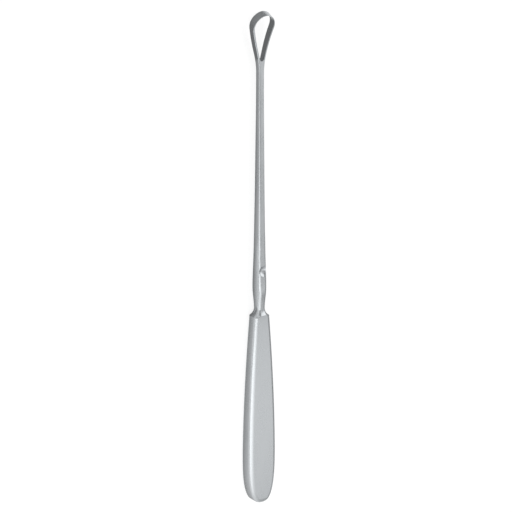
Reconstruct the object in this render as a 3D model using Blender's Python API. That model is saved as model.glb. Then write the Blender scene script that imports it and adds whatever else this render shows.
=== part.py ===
"""Uterine curette: one piece of satin steel, lying on the flat back of its handle.

The loop points along +Y, the cutting side faces +Z and the handle rests on Z = 0.
The blank is one loft from handle to loop tip. A second loft, the handle's own form,
trims it, which leaves the shoulder's crease. The loop's opening and the dimple that
marks the cutting side are then cut out, and the tip is bent slightly forward.
Below, "station" means a distance from the handle's end, measured along the piece.
"""

import math

import bmesh
import bpy
from mathutils import Matrix, Vector

MM = 0.001

# Overall
TOTAL_LENGTH = 280 * MM

# Handle: a flat paddle with round edges, widest near its end
HANDLE_WIDTH = 17.6 * MM
HANDLE_DEPTH = 9.2 * MM
HANDLE_WIDEST = 29.5 * MM
HANDLE_TOP_WIDTH = 9.7 * MM
HANDLE_TOP_DEPTH = 8.1 * MM
HANDLE_EDGE_RADIUS = 2.4 * MM
HANDLE_BACK_HOLLOW = 0.06 * MM
HANDLE_TAPER_POWER = 1.75
END_SQUARENESS = 2.72
END_CROWDING = 1.2

# Shoulder: the turned flare between the handle and the neck
SHOULDER_STATION = 109.8 * MM
FLARE_RADIUS = 5.0 * MM
FLARE_CORE = 5.4 * MM
FLARE_ANGLE = math.radians(56)
FLARE_ROUNDNESS = 0.97

# Neck: a waist above the flare, then a bulge that thins into the shank
WAIST_WIDTH = 5.0 * MM
WAIST_DEPTH = 5.6 * MM
WAIST_ABOVE_SHOULDER = 4.3 * MM
BULGE_WIDTH = 5.4 * MM
BULGE_DEPTH = 7.8 * MM
BULGE_ABOVE_WAIST = 11.5 * MM

# Shank: deeper than wide, tapering to the loop
SHANK_FOOT_WIDTH = 4.9 * MM
SHANK_FOOT_DEPTH = 6.4 * MM
SHANK_FOOT_STATION = 147 * MM
SHANK_MIDDLE_WIDTH = 4.0 * MM
SHANK_MIDDLE_DEPTH = 4.9 * MM
SHANK_MIDDLE_STATION = 193 * MM
SHANK_TIP_WIDTH = 3.7 * MM
SHANK_TIP_DEPTH = 3.4 * MM
NECK_EDGE_RADIUS = 1.9 * MM
SHANK_EDGE_RADIUS = 1.0 * MM

# Dimple on the front of the shank's foot, which marks the cutting side
DIMPLE_STATION = 136 * MM
DIMPLE_RADIUS = 4.0 * MM
DIMPLE_DEPTH = 1.35 * MM

# Loop: two legs in a V, closed by a round band with a sharp front edge
LOOP_WIDTH = 14.0 * MM
LOOP_DEPTH = 4.2 * MM
LEG_HALF_ANGLE = math.radians(15)
RIM_WIDTH = 0.80 * MM
CROTCH_RADIUS = 1.35 * MM
BEVEL_LENGTH = 0.8 * MM
EDGE_LAND = 0.08 * MM
LEG_EDGE_RADIUS = 0.3 * MM
BAND_EDGE_RADIUS = 0.06 * MM
SHARPENING_SHARE = 0.33
ROOT_BLEND_RADIUS = 40 * MM

# Forward lean of the loop, bent into the last of the shank
LEAN_ANGLE = math.radians(15)
LEAN_START = 258 * MM
LEAN_LENGTH = 16 * MM

# Fineness of the lofts
CORNER_STEPS = 6
END_STEPS = 18
HANDLE_STEPS = 14
FLARE_STEPS = 10
NECK_STEPS = 14
SHANK_STEPS = 16
ROOT_STEPS = 6
LEG_STEPS = 5
BAND_STEPS = 22
CROTCH_STEPS = 8

# How far a cutting form runs past what it cuts
CLEAR = 8 * MM
TRIM_PAST_WAIST = 1.0 * MM
TRIM_OPENING_STEP = 0.5 * MM

STEEL_COLOUR = (0.50, 0.52, 0.535, 1.0)
STEEL_ROUGHNESS = 0.32


def blend(start, end, share):
    return start + (end - start) * share


def ease(share):
    """Smooth step from 0 to 1 with level ends."""
    share = min(max(share, 0.0), 1.0)
    return share * share * (3 - 2 * share)


def curve_through(knots, position):
    """Smooth curve through (position, value) knots, level where the values turn."""
    count = len(knots)
    spans = [knots[i + 1][0] - knots[i][0] for i in range(count - 1)]
    rises = [(knots[i + 1][1] - knots[i][1]) / spans[i] for i in range(count - 1)]
    slopes = [0.0] * count
    for i in range(1, count - 1):
        if rises[i - 1] * rises[i] > 0:
            slopes[i] = 2 * rises[i - 1] * rises[i] / (rises[i - 1] + rises[i])
    index = 0
    while index < count - 2 and position > knots[index + 1][0]:
        index += 1
    t = (position - knots[index][0]) / spans[index]
    t = min(max(t, 0.0), 1.0)
    start = (1 + 2 * t) * (1 - t) ** 2 * knots[index][1]
    start += t * (1 - t) ** 2 * slopes[index] * spans[index]
    end = t * t * (3 - 2 * t) * knots[index + 1][1]
    end += t * t * (t - 1) * slopes[index + 1] * spans[index]
    return start + end


def half_section(outline, back, front, back_radius, front_radius):
    """Right half of a section, from its back face round both edges to its front face.

    outline(share) gives the side's point and outward direction in plan, as
    (x, y, out_x, out_y), where share runs from 0 at the back to 1 at the front.
    """
    points = []
    for step in range(CORNER_STEPS + 1):
        turn = math.pi / 2 * (1 - step / CORNER_STEPS)
        points.append((back_radius * (1 - math.cos(turn)), back + back_radius * (1 - math.sin(turn))))
    for step in range(CORNER_STEPS + 1):
        turn = math.pi / 2 * step / CORNER_STEPS
        points.append((front_radius * (1 - math.cos(turn)), front - front_radius * (1 - math.sin(turn))))
    section = []
    for inset, height in points:
        x, y, out_x, out_y = outline((height - back) / (front - back))
        section.append(Vector((x - inset * out_x, y - inset * out_y, height)))
    return section


def side_section(station, width, depth, radius):
    """Section across the piece, of one width from back to front."""

    def outline(share):
        return width / 2, station, 1.0, 0.0

    return half_section(outline, -depth / 2, depth / 2, radius, radius)


def loft(name, sections):
    """Closed solid through half sections, mirrored in X and capped at both ends."""
    shell = bmesh.new()
    rings = []
    for section in sections:
        right = [shell.verts.new(point) for point in section]
        left = [shell.verts.new((-point.x, point.y, point.z)) for point in reversed(section)]
        rings.append(right + left)
    for ring, following in zip(rings, rings[1:]):
        for i, vertex in enumerate(ring):
            j = (i + 1) % len(ring)
            shell.faces.new((vertex, following[i], following[j], ring[j]))
    shell.faces.new(rings[0])
    shell.faces.new(reversed(rings[-1]))
    bmesh.ops.remove_doubles(shell, verts=shell.verts, dist=MM / 1000)
    bmesh.ops.recalc_face_normals(shell, faces=shell.faces)
    return object_from(name, shell)


def object_from(name, shell):
    mesh = bpy.data.meshes.new(name)
    shell.to_mesh(mesh)
    shell.free()
    piece = bpy.data.objects.new(name, mesh)
    bpy.context.scene.collection.objects.link(piece)
    return piece


# Handle


def handle_share(station):
    """How far a station lies from the handle's widest place, 0, to the shoulder, 1."""
    return (station - HANDLE_WIDEST) / (SHOULDER_STATION - HANDLE_WIDEST)


def handle_depth(station):
    """Depth between two planes that taper evenly."""
    return blend(HANDLE_DEPTH, HANDLE_TOP_DEPTH, handle_share(station))


def back_hollow(station):
    """The back is ground slightly hollow, to bear at the widest place and the shoulder."""
    share = handle_share(station)
    return HANDLE_BACK_HOLLOW * abs(4 * share * (1 - share))


def handle_taper(station):
    """Half width of the handle above its widest place."""
    share = handle_share(station)
    return blend(HANDLE_WIDTH, HANDLE_TOP_WIDTH, share ** HANDLE_TAPER_POWER) / 2


def end_outline(turn):
    """Point and outward direction on the handle's round end, turn 0 at the very end."""
    power = 2 / END_SQUARENESS
    across = math.sin(turn) ** power
    along = math.cos(turn) ** power
    x = HANDLE_WIDTH / 2 * across
    y = HANDLE_WIDEST * (1 - along)
    out_x = math.sin(turn) ** (2 - power) / (HANDLE_WIDTH / 2)
    out_y = -math.cos(turn) ** (2 - power) / HANDLE_WIDEST
    size = math.hypot(out_x, out_y)
    return x, y, out_x / size, out_y / size


def handle_section(x, y, out_x, out_y):
    def outline(share):
        return x, y, out_x, out_y

    depth = handle_depth(y)
    back = back_hollow(y) - depth / 2
    return half_section(outline, back, depth / 2, HANDLE_EDGE_RADIUS, HANDLE_EDGE_RADIUS)


def build_handle_form():
    """The handle's own form, continued past the waist and then opened out wide."""
    sections = []
    for step in range(END_STEPS):
        turn = math.pi / 2 * (step / END_STEPS) ** END_CROWDING
        sections.append(handle_section(*end_outline(turn)))
    for step in range(HANDLE_STEPS + 1):
        station = blend(HANDLE_WIDEST, SHOULDER_STATION, step / HANDLE_STEPS)
        sections.append(handle_section(handle_taper(station), station, 1.0, 0.0))
    past_waist = waist_station() + TRIM_PAST_WAIST
    sections.append(handle_section(handle_taper(past_waist), past_waist, 1.0, 0.0))
    wide = LOOP_WIDTH + HANDLE_WIDTH
    sections.append(side_section(past_waist + TRIM_OPENING_STEP, wide, wide, HANDLE_EDGE_RADIUS))
    sections.append(side_section(TOTAL_LENGTH + CLEAR, wide, wide, HANDLE_EDGE_RADIUS))
    return loft("handle_form", sections)


# Blank: flare, neck and shank


def waist_station():
    return SHOULDER_STATION + WAIST_ABOVE_SHOULDER


def root_station():
    """Where the legs' outer lines would meet the sides of the shank."""
    return leg_apex() + SHANK_TIP_WIDTH / 2 / math.tan(LEG_HALF_ANGLE)


def root_blend_length():
    return ROOT_BLEND_RADIUS * math.tan(LEG_HALF_ANGLE / 2)


def shank_end():
    return root_station() - root_blend_length()


def neck_size(station):
    """Width, depth and edge radius of neck and shank at a station."""
    waist = waist_station()
    bulge = waist + BULGE_ABOVE_WAIST
    places = (waist, bulge, SHANK_FOOT_STATION, SHANK_MIDDLE_STATION, shank_end())
    widths = (WAIST_WIDTH, BULGE_WIDTH, SHANK_FOOT_WIDTH, SHANK_MIDDLE_WIDTH, SHANK_TIP_WIDTH)
    depths = (WAIST_DEPTH, BULGE_DEPTH, SHANK_FOOT_DEPTH, SHANK_MIDDLE_DEPTH, SHANK_TIP_DEPTH)
    width = curve_through(list(zip(places, widths)), station)
    depth = curve_through(list(zip(places, depths)), station)
    share = (station - waist) / (shank_end() - waist)
    return width, depth, blend(NECK_EDGE_RADIUS, SHANK_EDGE_RADIUS, share)


def flare_section(turn):
    """Section of the flare where its concave arc has turned away from the axis by turn."""
    station = waist_station() - FLARE_RADIUS * math.sin(turn)
    growth = FLARE_RADIUS * (1 - math.cos(turn))
    share = ease(turn / FLARE_ANGLE)
    width = blend(WAIST_WIDTH, FLARE_CORE, share) + 2 * growth
    depth = blend(WAIST_DEPTH, FLARE_CORE, share) + 2 * growth
    roundest = FLARE_ROUNDNESS * min(width, depth) / 2
    radius = blend(NECK_EDGE_RADIUS, roundest, share)
    return side_section(station, width, depth, radius)


def flare_past_handle():
    """Sections that carry the flare past the handle's edges and beyond its end."""
    growth = FLARE_RADIUS * (1 - math.cos(FLARE_ANGLE))
    station = waist_station() - FLARE_RADIUS * math.sin(FLARE_ANGLE)
    diameter = FLARE_CORE + 2 * growth
    wide = HANDLE_WIDTH + HANDLE_DEPTH
    station -= (wide - diameter) / 2 / math.tan(FLARE_ANGLE)
    radius = FLARE_ROUNDNESS * wide / 2
    return [side_section(-CLEAR, wide, wide, radius), side_section(station, wide, wide, radius)]


# Blank: loop


def leg_apex():
    """Where the legs' outer lines would cross on the axis."""
    return TOTAL_LENGTH - LOOP_WIDTH / 2 * (1 + 1 / math.sin(LEG_HALF_ANGLE))


def edge_radius():
    """Radius of the cutting edge: its circle fits the same V of legs, one bevel lower."""
    return LOOP_WIDTH / 2 - BEVEL_LENGTH / (1 + 1 / math.sin(LEG_HALF_ANGLE))


def loop_circle(share):
    """Radius and centre station of the band's outer circle, share 0 at the back."""
    radius = blend(LOOP_WIDTH / 2, edge_radius(), share)
    return radius, leg_apex() + radius / math.sin(LEG_HALF_ANGLE)


def loop_faces(station):
    """Back and front face of the loop, which deepens evenly from shank to tip."""
    share = (station - shank_end()) / (TOTAL_LENGTH - shank_end())
    depth = blend(SHANK_TIP_DEPTH, LOOP_DEPTH, share)
    return -depth / 2, depth / 2


def loop_section(outline, edge):
    """Section across the loop, with its faces at the outline's own stations."""
    back = loop_faces(outline(0.0)[1])[0]
    front = loop_faces(outline(1.0)[1])[1]
    return half_section(outline, back, front, edge, edge)


def root_sections():
    """The sides swing out from the shank along an arc into the legs."""
    sections = []
    for step in range(1, ROOT_STEPS + 1):
        turn = LEG_HALF_ANGLE * step / ROOT_STEPS
        x = SHANK_TIP_WIDTH / 2 + ROOT_BLEND_RADIUS * (1 - math.cos(turn))
        y = shank_end() + ROOT_BLEND_RADIUS * math.sin(turn)

        def outline(share, x=x, y=y, turn=turn):
            return x, y, math.cos(turn), -math.sin(turn)

        edge = blend(SHANK_EDGE_RADIUS, LEG_EDGE_RADIUS, step / ROOT_STEPS)
        sections.append(loop_section(outline, edge))
    return sections


def leg_sections():
    """Straight legs up to where each outer circle touches them."""
    start_x = SHANK_TIP_WIDTH / 2 + ROOT_BLEND_RADIUS * (1 - math.cos(LEG_HALF_ANGLE))
    start_y = shank_end() + ROOT_BLEND_RADIUS * math.sin(LEG_HALF_ANGLE)
    sections = []
    for step in range(1, LEG_STEPS):
        along = step / LEG_STEPS

        def outline(share, along=along):
            radius, centre = loop_circle(share)
            x = blend(start_x, radius * math.cos(LEG_HALF_ANGLE), along)
            y = blend(start_y, centre - radius * math.sin(LEG_HALF_ANGLE), along)
            return x, y, math.cos(LEG_HALF_ANGLE), -math.sin(LEG_HALF_ANGLE)

        sections.append(loop_section(outline, LEG_EDGE_RADIUS))
    return sections


def band_sections():
    """The band's outer face, ruled between the back circle and the cutting edge."""
    sections = []
    whole = math.pi / 2 + LEG_HALF_ANGLE
    for step in range(BAND_STEPS + 1):
        turn = whole * (1 - step / BAND_STEPS)

        def outline(share, turn=turn):
            radius, centre = loop_circle(share)
            across = math.sin(turn)
            along = math.cos(turn)
            return radius * across, centre + radius * along, across, along

        sharpness = ease(step / BAND_STEPS / SHARPENING_SHARE)
        edge = blend(LEG_EDGE_RADIUS, BAND_EDGE_RADIUS, sharpness)
        sections.append(loop_section(outline, edge))
    return sections


def build_blank():
    sections = flare_past_handle()
    for step in range(FLARE_STEPS):
        sections.append(flare_section(FLARE_ANGLE * (1 - step / FLARE_STEPS)))
    for step in range(NECK_STEPS):
        station = blend(waist_station(), SHANK_FOOT_STATION, step / NECK_STEPS)
        sections.append(side_section(station, *neck_size(station)))
    for step in range(SHANK_STEPS + 1):
        station = blend(SHANK_FOOT_STATION, shank_end(), step / SHANK_STEPS)
        sections.append(side_section(station, *neck_size(station)))
    sections += root_sections() + leg_sections() + band_sections()
    return loft("curette", sections)


# Cuts


def opening_outline():
    """The loop's opening in plan: a round top, straight sides and a round crotch."""
    sine = math.sin(LEG_HALF_ANGLE)
    apex = leg_apex()
    radius, centre = loop_circle(1.0)
    top = centre + radius - EDGE_LAND
    top_radius = ((top - apex) * sine - RIM_WIDTH) / (1 + sine)
    top_centre = top - top_radius
    crotch_centre = apex + (CROTCH_RADIUS + RIM_WIDTH) / sine
    whole = math.pi / 2 + LEG_HALF_ANGLE
    points = []
    for step in range(2 * BAND_STEPS + 1):
        turn = whole * (step / BAND_STEPS - 1)
        points.append((top_radius * math.sin(turn), top_centre + top_radius * math.cos(turn)))
    whole = math.pi / 2 - LEG_HALF_ANGLE
    for step in range(2 * CROTCH_STEPS + 1):
        turn = whole * (1 - step / CROTCH_STEPS)
        points.append((CROTCH_RADIUS * math.sin(turn), crotch_centre - CROTCH_RADIUS * math.cos(turn)))
    return points


def build_opening_cutter():
    shell = bmesh.new()
    bottom = [shell.verts.new((x, y, -LOOP_DEPTH)) for x, y in opening_outline()]
    face = shell.faces.new(bottom)
    lifted = bmesh.ops.extrude_face_region(shell, geom=[face])
    raised = [item for item in lifted["geom"] if isinstance(item, bmesh.types.BMVert)]
    bmesh.ops.translate(shell, verts=raised, vec=(0, 0, 2 * LOOP_DEPTH))
    bmesh.ops.recalc_face_normals(shell, faces=shell.faces)
    return object_from("opening_cutter", shell)


def build_dimple_cutter():
    shell = bmesh.new()
    bmesh.ops.create_uvsphere(shell, u_segments=48, v_segments=32, radius=DIMPLE_RADIUS)
    depth = neck_size(DIMPLE_STATION)[1]
    centre = Vector((0, DIMPLE_STATION, depth / 2 - DIMPLE_DEPTH + DIMPLE_RADIUS))
    bmesh.ops.translate(shell, verts=shell.verts, vec=centre)
    return object_from("dimple_cutter", shell)


def cut(piece, cutter, operation):
    cutter.hide_render = True
    cutter.display_type = "WIRE"
    step = piece.modifiers.new(cutter.name, "BOOLEAN")
    step.operation = operation
    step.object = cutter
    step.solver = "EXACT"


def settle(piece, cutters):
    """Replace the piece's mesh by the finished cut and remove the cutting forms."""
    bpy.context.view_layer.update()
    depsgraph = bpy.context.evaluated_depsgraph_get()
    finished = bpy.data.meshes.new_from_object(piece.evaluated_get(depsgraph))
    piece.modifiers.clear()
    piece.data = finished
    for cutter in cutters:
        bpy.data.objects.remove(cutter)


# Lean and rest


def bend_forward(mesh):
    """Bend the tip towards the cutting side along an arc, then carry on straight."""
    arc_radius = LEAN_LENGTH / LEAN_ANGLE
    for vertex in mesh.vertices:
        past = vertex.co.y - LEAN_START
        if past <= 0:
            continue
        turn = LEAN_ANGLE * min(past / LEAN_LENGTH, 1.0)
        straight = max(past - LEAN_LENGTH, 0.0)
        height = vertex.co.z
        y = LEAN_START + (arc_radius - height) * math.sin(turn) + straight * math.cos(turn)
        z = arc_radius - (arc_radius - height) * math.cos(turn) + straight * math.sin(turn)
        vertex.co.y = y
        vertex.co.z = z


def lay_down(mesh):
    """Lay the handle's back on Z = 0, with the box centred over the origin."""
    pitch = math.atan2((HANDLE_DEPTH - HANDLE_TOP_DEPTH) / 2, SHOULDER_STATION - HANDLE_WIDEST)
    mesh.transform(Matrix.Rotation(-pitch, 4, "X"))
    ys = [vertex.co.y for vertex in mesh.vertices]
    zs = [vertex.co.z for vertex in mesh.vertices]
    mesh.transform(Matrix.Translation((0, -(min(ys) + max(ys)) / 2, -min(zs))))


def steel():
    material = bpy.data.materials.new("satin_steel")
    material.use_nodes = True
    shader = material.node_tree.nodes["Principled BSDF"]
    shader.inputs["Base Color"].default_value = STEEL_COLOUR
    shader.inputs["Metallic"].default_value = 1.0
    shader.inputs["Roughness"].default_value = STEEL_ROUGHNESS
    return material


def build_curette():
    curette = build_blank()
    cutters = [build_handle_form(), build_opening_cutter(), build_dimple_cutter()]
    cut(curette, cutters[0], "INTERSECT")
    cut(curette, cutters[1], "DIFFERENCE")
    cut(curette, cutters[2], "DIFFERENCE")
    settle(curette, cutters)
    bend_forward(curette.data)
    lay_down(curette.data)
    curette.data.materials.clear()
    curette.data.materials.append(steel())
    curette.data.shade_smooth()
    curette.data.set_sharp_from_angle(angle=math.radians(30))
    return curette


for existing in list(bpy.data.objects):
    bpy.data.objects.remove(existing)
build_curette()
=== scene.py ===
"""Uterine curette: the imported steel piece, smoothed and finished, on a pale table.

The piece lies on the flat back of its handle. The camera looks down on it from the left of
the cutting side, so that the loop is at the top of the picture, and a long lens keeps the
piece's sides almost parallel.
"""

import math

import bmesh
import bpy
from mathutils import Matrix, Quaternion, Vector


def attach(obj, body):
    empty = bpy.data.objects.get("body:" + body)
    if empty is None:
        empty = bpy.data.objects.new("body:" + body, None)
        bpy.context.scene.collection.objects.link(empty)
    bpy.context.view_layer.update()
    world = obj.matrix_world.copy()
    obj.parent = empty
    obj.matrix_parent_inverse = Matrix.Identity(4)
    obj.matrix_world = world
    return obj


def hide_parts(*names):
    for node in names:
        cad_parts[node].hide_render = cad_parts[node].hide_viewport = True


MM = 0.001

# Camera: turned about the piece's length, then tilted towards the loop's end
CAMERA_TURN = math.radians(36)
CAMERA_TILT = math.radians(20)
CAMERA_ROLL = math.radians(0.43)
CAMERA_DISTANCE = 1.6
CAMERA_LENS = 209.0
CAMERA_REACH = 20.0
CAMERA_AIM_HEIGHT = 5 * MM
CAMERA_ASIDE = -2.5 * MM
CAMERA_ALONG = 3.82 * MM

# Surface: shading, then the steel's two tones, its fine lines and its faint patches
WELD_DISTANCE = 0.0005 * MM
SHARP_ANGLE = math.radians(30)
LARGE_FACE_WEIGHT = 100
STEEL_DARK = (0.48, 0.50, 0.515, 1.0)
STEEL_LIGHT = (0.52, 0.54, 0.555, 1.0)
LINE_STRETCH = (7000, 500, 7000)
LINE_DETAIL = 3.0
LINE_BUMP = 0.25
LINE_DEPTH = 0.02 * MM
LINE_ROUGHNESS = (-0.03, 0.03)
PATCH_STRETCH = (160, 60, 160)
PATCH_DETAIL = 2.0
PATCH_ROUGHNESS = (0.26, 0.33)
NOISE_MIDDLE = (0.3, 0.7)

# Sockets of a mix node that mixes colours
MIX_FACTOR = 0
MIX_FIRST_COLOUR = 6
MIX_SECOND_COLOUR = 7
MIX_RESULT = 2

# Floor: its true paleness, then the share of its shading and the glow that are seen
FLOOR_HALF_SIZE = 3.0
FLOOR_PALENESS = 0.75
FLOOR_SHADE_SHARE = 0.36
FLOOR_GLOW = 0.79

# Room: a bright ceiling over darker walls, and the heights between which the light fades
CEILING_STRENGTH = 0.78
WALL_STRENGTH = 0.40
WALL_FOOT = 0.25
WALL_TOP = 0.80

# Softboxes: name, near and far edge in metres, and the strength at each edge
SOFTBOXES = (
    (
        "left_softbox",
        ((-0.3, -0.55, 0.0), (-0.3, -0.55, 1.76)),
        ((-0.3, -0.12, 0.03), (-0.3, -0.12, 0.45)),
        (1.3, 2.25),
    ),
    (
        "left_far_softbox",
        ((-0.3, -0.12, 0.06), (-0.3, -0.12, 0.33)),
        ((-0.3, 0.02, 0.05), (-0.3, 0.02, 0.24)),
        (1.65, 1.15),
    ),
    (
        "crown_softbox",
        ((-0.16, -0.30, 0.34), (-0.16, -0.14, 0.34)),
        ((0.06, -0.30, 0.315), (0.06, -0.14, 0.315)),
        (2.0, 1.2),
    ),
    (
        "top_softbox",
        ((0.06, -0.30, 0.315), (0.06, -0.15, 0.315)),
        ((0.34, -0.30, 0.28), (0.34, -0.15, 0.28)),
        (1.2, 1.11),
    ),
    (
        "end_softbox",
        ((-0.5, -0.5, 0.0), (-0.5, -0.5, 0.60)),
        ((0.3, -0.5, 0.0), (0.3, -0.5, 0.25)),
        (1.35, 0.6),
    ),
)

# Hung cards: name, place they face, direction from it, distance, width, height, strength
HUNG_CARDS = (
    ("right_softbox", (0, -0.02, 0), (0.66, 0.48, 0.52), 0.5, 0.62, 0.42, 1.75),
    ("back_softbox", (0, -0.03, 0), (-0.40, 0.87, 0.30), 0.5, 0.35, 0.22, 1.1),
    ("tongue_flag", (0, -0.03, 0), (-0.10, 0.60, 0.79), 0.4, 0.18, 0.28, 0.35),
)

# Edges of the painted contact shade beside the handle: two lines along the table that follow the
# handle's left outline, close to it and further out
HANDLE_LINE = (
    (-5.2, -31),
    (-7.1, -57),
    (-8.4, -80),
    (-9.1, -104),
    (-8.6, -122),
    (-7.0, -131),
    (-4.9, -137),
    (-2.8, -141.5),
    (0, -145),
)
HANDLE_OUTER = (
    (-11.4, -31),
    (-13.3, -57),
    (-14.6, -80),
    (-15.3, -104),
    (-14.4, -124),
    (-12.0, -136),
    (-9.0, -143),
    (-5.6, -148),
    (0, -152),
)

# Painted reflections: level cards seen only in the steel, mostly dark, that paint shade into its
# reflections
# Painted reflection cards: name, height, near and far edge, all in millimetres, and the strength
# at each edge
PAINTED_REFLECTIONS = (
    # Painted shade in the loop's reflections: dark cards on the table under and beyond the loop
    ("loop_painted_shade", 0.3, ((6, 112), (6, 150)), ((-30, 112), (-30, 150)), (0.22, 0.36)),
    ("tip_painted_shade", 0.3, ((-40, 150), (40, 150)), ((-60, 270), (60, 270)), (0.3, 0.35)),
    # Painted contact shade in the reflections of the handle's and shank's left sides, darkest next
    # to the piece
    ("handle_painted_shade", 0.2, HANDLE_LINE, HANDLE_OUTER, (0.38, 0.85)),
    ("shank_painted_shade", 0.2, ((-3.0, -28), (-2.0, 112)), ((-6.6, -28), (-5.6, 112)), (0.15, 0.78)),
    ("shank_side_painted_shade", 0.2, ((-70, 8), (-6.4, 8)), ((-70, 112), (-5.6, 112)), (0.76, 0.40)),
    # Painted shade: dark card overhead, seen only in the steel, darkening the shank's reflection
    # beside its highlight
    ("shank_top_painted_shade", 300.0, ((-140, -100), (-140, 20)), ((0, -100), (0, 20)), (0.35, 0.4)),
    # Painted shade in the reflections of the shoulder and its left scallop
    ("shoulder_painted_shade", 0.2, ((-2, -31), (-2, -28)), ((-16, -31), (-16, -28)), (0.2, 0.6)),
    ("scallop_painted_shade", 3.0, ((-3.6, -29.5), (-3.6, -27)), ((-11, -29.5), (-11, -22.5)), (0.35, 0.6)),
    # Painted reflections on the neck: a dimmer card that narrows its highlight, and dark cards
    # that darken its right part
    ("neck_left_painted_reflection", 9.0, ((-5, -30.5), (-4, -17)), ((-20, -30.5), (-20, -17)), (1.2, 1.0)),
    ("neck_shade", 27.0, ((7, -38), (7, -28)), ((28, -38), (28, -28)), (0.6, 0.6)),
    ("neck_painted_shade", 0.2, ((3, -28), (3, 10)), ((30, -28), (30, 10)), (0.2, 0.2)),
    # Painted shade: dark card on the table right of the handle and neck, seen only in the steel
    ("dimple_painted_shade", 0.1, ((12, -130), (12, -28)), ((110, -130), (110, -28)), (0.3, 0.3)),
)


def look_direction():
    """Unit vector from the piece towards the camera."""
    return Vector(
        (
            -math.sin(CAMERA_TURN) * math.cos(CAMERA_TILT),
            math.sin(CAMERA_TILT),
            math.cos(CAMERA_TURN) * math.cos(CAMERA_TILT),
        )
    )


def make_camera():
    """Long lens that looks at the middle of the piece."""
    back = look_direction()
    up = (Vector((0, 1, 0)) - back * back.y).normalized()
    right = up.cross(back)
    roll = Quaternion(back, CAMERA_ROLL)
    right.rotate(roll)
    up.rotate(roll)
    lens = bpy.data.cameras.new("camera")
    lens.lens = CAMERA_LENS
    lens.clip_end = CAMERA_REACH
    camera = bpy.data.objects.new("camera", lens)
    bpy.context.scene.collection.objects.link(camera)
    aim = Vector((0, 0, CAMERA_AIM_HEIGHT)) + right * CAMERA_ASIDE + up * CAMERA_ALONG
    turned = Matrix((right, up, back)).transposed().to_4x4()
    camera.matrix_world = Matrix.Translation(aim + back * CAMERA_DISTANCE) @ turned
    bpy.context.scene.camera = camera


def make_polished_piece(node):
    """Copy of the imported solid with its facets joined, so that light runs smoothly over it."""
    mesh = node.data.copy()
    mesh.name = "curette_polished"
    shell = bmesh.new()
    shell.from_mesh(mesh)
    bmesh.ops.remove_doubles(shell, verts=shell.verts, dist=WELD_DISTANCE)
    shell.to_mesh(mesh)
    shell.free()
    for name in ("custom_normal", "sharp_face", "sharp_edge"):
        layer = mesh.attributes.get(name)
        if layer:
            mesh.attributes.remove(layer)
    mesh.shade_smooth()
    mesh.set_sharp_from_angle(angle=SHARP_ANGLE)
    piece = bpy.data.objects.new("curette_polished", mesh)
    bpy.context.scene.collection.objects.link(piece)
    weighted = piece.modifiers.new("face_weights", "WEIGHTED_NORMAL")
    weighted.keep_sharp = True
    weighted.weight = LARGE_FACE_WEIGHT
    return piece


def noise_over(nodes, links, place, stretch, detail):
    """Noise that is this many features per metre across and along the piece."""
    mapping = nodes.new("ShaderNodeMapping")
    mapping.inputs["Scale"].default_value = stretch
    links.new(place.outputs["Object"], mapping.inputs["Vector"])
    noise = nodes.new("ShaderNodeTexNoise")
    noise.inputs["Scale"].default_value = 1.0
    noise.inputs["Detail"].default_value = detail
    links.new(mapping.outputs["Vector"], noise.inputs["Vector"])
    return noise.outputs["Fac"]


def spread(nodes, links, value, low, high):
    """Noise whose middle range is spread from low to high."""
    change = nodes.new("ShaderNodeMapRange")
    change.inputs["From Min"].default_value = NOISE_MIDDLE[0]
    change.inputs["From Max"].default_value = NOISE_MIDDLE[1]
    change.inputs["To Min"].default_value = low
    change.inputs["To Max"].default_value = high
    links.new(value, change.inputs["Value"])
    return change.outputs["Result"]


def satin_steel():
    """Steel rubbed to a satin with fine lines along the piece and faint uneven patches."""
    material = bpy.data.materials.new("satin_steel")
    material.use_nodes = True
    nodes = material.node_tree.nodes
    links = material.node_tree.links
    shader = nodes["Principled BSDF"]
    shader.inputs["Metallic"].default_value = 1.0
    place = nodes.new("ShaderNodeTexCoord")
    lines = noise_over(nodes, links, place, LINE_STRETCH, LINE_DETAIL)
    patches = noise_over(nodes, links, place, PATCH_STRETCH, PATCH_DETAIL)

    tint = nodes.new("ShaderNodeMix")
    tint.data_type = "RGBA"
    tint.inputs[MIX_FIRST_COLOUR].default_value = STEEL_DARK
    tint.inputs[MIX_SECOND_COLOUR].default_value = STEEL_LIGHT
    links.new(spread(nodes, links, patches, 0.0, 1.0), tint.inputs[MIX_FACTOR])
    links.new(tint.outputs[MIX_RESULT], shader.inputs["Base Color"])

    roughness = nodes.new("ShaderNodeMath")
    roughness.operation = "ADD"
    links.new(spread(nodes, links, patches, *PATCH_ROUGHNESS), roughness.inputs[0])
    links.new(spread(nodes, links, lines, *LINE_ROUGHNESS), roughness.inputs[1])
    links.new(roughness.outputs["Value"], shader.inputs["Roughness"])

    bump = nodes.new("ShaderNodeBump")
    bump.inputs["Strength"].default_value = LINE_BUMP
    bump.inputs["Distance"].default_value = LINE_DEPTH
    links.new(lines, bump.inputs["Height"])
    links.new(bump.outputs["Normal"], shader.inputs["Normal"])
    return material


def make_world():
    """White room whose light fades from the ceiling down to the walls."""
    world = bpy.data.worlds.new("world")
    bpy.context.scene.world = world
    world.use_nodes = True
    nodes = world.node_tree.nodes
    links = world.node_tree.links
    direction = nodes.new("ShaderNodeTexCoord")
    split = nodes.new("ShaderNodeSeparateXYZ")
    links.new(direction.outputs["Generated"], split.inputs["Vector"])
    fade = nodes.new("ShaderNodeMapRange")
    fade.interpolation_type = "SMOOTHSTEP"
    fade.inputs["From Min"].default_value = WALL_FOOT
    fade.inputs["From Max"].default_value = WALL_TOP
    fade.inputs["To Min"].default_value = WALL_STRENGTH
    fade.inputs["To Max"].default_value = CEILING_STRENGTH
    links.new(split.outputs["Z"], fade.inputs["Value"])
    nodes["Background"].inputs["Color"].default_value = (1, 1, 1, 1)
    links.new(fade.outputs["Result"], nodes["Background"].inputs["Strength"])


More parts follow.
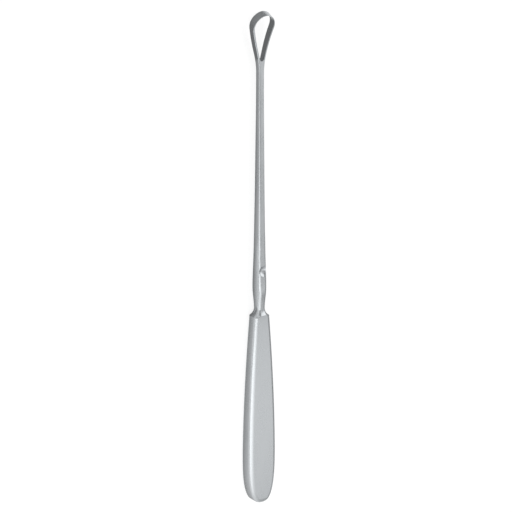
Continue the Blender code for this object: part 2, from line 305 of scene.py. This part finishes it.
def floor_material():
    """Pale matt floor, which the camera and the steel see lit up to white, shadow kept."""
    material = bpy.data.materials.new("floor")
    material.use_nodes = True
    nodes = material.node_tree.nodes
    links = material.node_tree.links
    nodes.clear()
    true_floor = nodes.new("ShaderNodeBsdfDiffuse")
    true_floor.inputs["Color"].default_value = (FLOOR_PALENESS,) * 3 + (1,)
    shade = nodes.new("ShaderNodeBsdfDiffuse")
    shade.inputs["Color"].default_value = (FLOOR_PALENESS * FLOOR_SHADE_SHARE,) * 3 + (1,)
    glow = nodes.new("ShaderNodeEmission")
    glow.inputs["Strength"].default_value = FLOOR_GLOW
    seen = nodes.new("ShaderNodeAddShader")
    links.new(shade.outputs["BSDF"], seen.inputs[0])
    links.new(glow.outputs["Emission"], seen.inputs[1])
    path = nodes.new("ShaderNodeLightPath")
    either = nodes.new("ShaderNodeMath")
    either.operation = "MAXIMUM"
    links.new(path.outputs["Is Camera Ray"], either.inputs[0])
    links.new(path.outputs["Is Glossy Ray"], either.inputs[1])
    mix = nodes.new("ShaderNodeMixShader")
    links.new(either.outputs["Value"], mix.inputs["Fac"])
    links.new(true_floor.outputs["BSDF"], mix.inputs[1])
    links.new(seen.outputs["Shader"], mix.inputs[2])
    output = nodes.new("ShaderNodeOutputMaterial")
    links.new(mix.outputs["Shader"], output.inputs["Surface"])
    return material


def make_floor():
    """Table under the piece, far larger than the picture."""
    shell = bmesh.new()
    bmesh.ops.create_grid(shell, x_segments=1, y_segments=1, size=FLOOR_HALF_SIZE)
    mesh = bpy.data.meshes.new("floor")
    shell.to_mesh(mesh)
    shell.free()
    mesh.materials.append(floor_material())
    floor = bpy.data.objects.new("floor", mesh)
    bpy.context.scene.collection.objects.link(floor)


def glowing(name, near, far):
    """Even glow, or one that changes from the near edge of a card to its far edge."""
    material = bpy.data.materials.new(name)
    material.use_nodes = True
    nodes = material.node_tree.nodes
    links = material.node_tree.links
    nodes.clear()
    glow = nodes.new("ShaderNodeEmission")
    glow.inputs["Strength"].default_value = near
    if far != near:
        place = nodes.new("ShaderNodeUVMap")
        split = nodes.new("ShaderNodeSeparateXYZ")
        fade = nodes.new("ShaderNodeMapRange")
        fade.inputs["To Min"].default_value = near
        fade.inputs["To Max"].default_value = far
        links.new(place.outputs["UV"], split.inputs["Vector"])
        links.new(split.outputs["X"], fade.inputs["Value"])
        links.new(fade.outputs["Result"], glow.inputs["Strength"])
    output = nodes.new("ShaderNodeOutputMaterial")
    links.new(glow.outputs["Emission"], output.inputs["Surface"])
    return material


def make_card(name, near_edge, far_edge, strengths):
    """Glowing strip between two edges, hidden from the camera."""
    shell = bmesh.new()
    layer = shell.loops.layers.uv.new("UVMap")
    near_row = [shell.verts.new(point) for point in near_edge]
    far_row = [shell.verts.new(point) for point in far_edge]
    for i in range(len(near_row) - 1):
        face = shell.faces.new((near_row[i], near_row[i + 1], far_row[i + 1], far_row[i]))
        for loop, across in zip(face.loops, (0, 0, 1, 1)):
            loop[layer].uv = (across, 0)
    mesh = bpy.data.meshes.new(name)
    shell.to_mesh(mesh)
    shell.free()
    mesh.materials.append(glowing(name, *strengths))
    card = bpy.data.objects.new(name, mesh)
    bpy.context.scene.collection.objects.link(card)
    card.visible_camera = False
    return card


def hang_card(name, place, direction, distance, width, height, strength):
    """Even card in one direction from a place on the piece, facing that place."""
    towards = Vector(direction).normalized()
    level = towards.cross(Vector((0, 0, 1))).normalized() * width / 2
    rise = level.cross(towards).normalized() * height / 2
    centre = Vector(place) + towards * distance
    near_edge = (centre - level - rise, centre - level + rise)
    far_edge = (centre + level - rise, centre + level + rise)
    make_card(name, near_edge, far_edge, (strength, strength))


def lay_painted_reflection(name, height, near_edge, far_edge, strengths):
    """Painted reflection: level card, given in millimetres, that only shows in the steel and casts
    no shadow.
    """
    near_points = [(x * MM, y * MM, height * MM) for x, y in near_edge]
    far_points = [(x * MM, y * MM, height * MM) for x, y in far_edge]
    flag = make_card(name, near_points, far_points, strengths)
    flag.visible_diffuse = False
    flag.visible_shadow = False


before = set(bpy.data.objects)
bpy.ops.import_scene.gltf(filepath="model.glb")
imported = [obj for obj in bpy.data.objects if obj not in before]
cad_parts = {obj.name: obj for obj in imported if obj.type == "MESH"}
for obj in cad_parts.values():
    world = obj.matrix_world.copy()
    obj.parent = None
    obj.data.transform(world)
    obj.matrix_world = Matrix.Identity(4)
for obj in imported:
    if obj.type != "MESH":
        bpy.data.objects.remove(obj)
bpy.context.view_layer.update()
polished = make_polished_piece(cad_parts["curette"])
polished.data.materials.clear()
polished.data.materials.append(satin_steel())
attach(polished, "root")
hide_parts("curette")
bpy.context.scene.view_settings.view_transform = "Standard"
make_floor()
make_world()
for softbox in SOFTBOXES:
    make_card(*softbox)
for card in HUNG_CARDS:
    hang_card(*card)
# Cards that paint shade and a dimmed highlight into the steel's reflections only
for flag in PAINTED_REFLECTIONS:
    lay_painted_reflection(*flag)
make_camera()
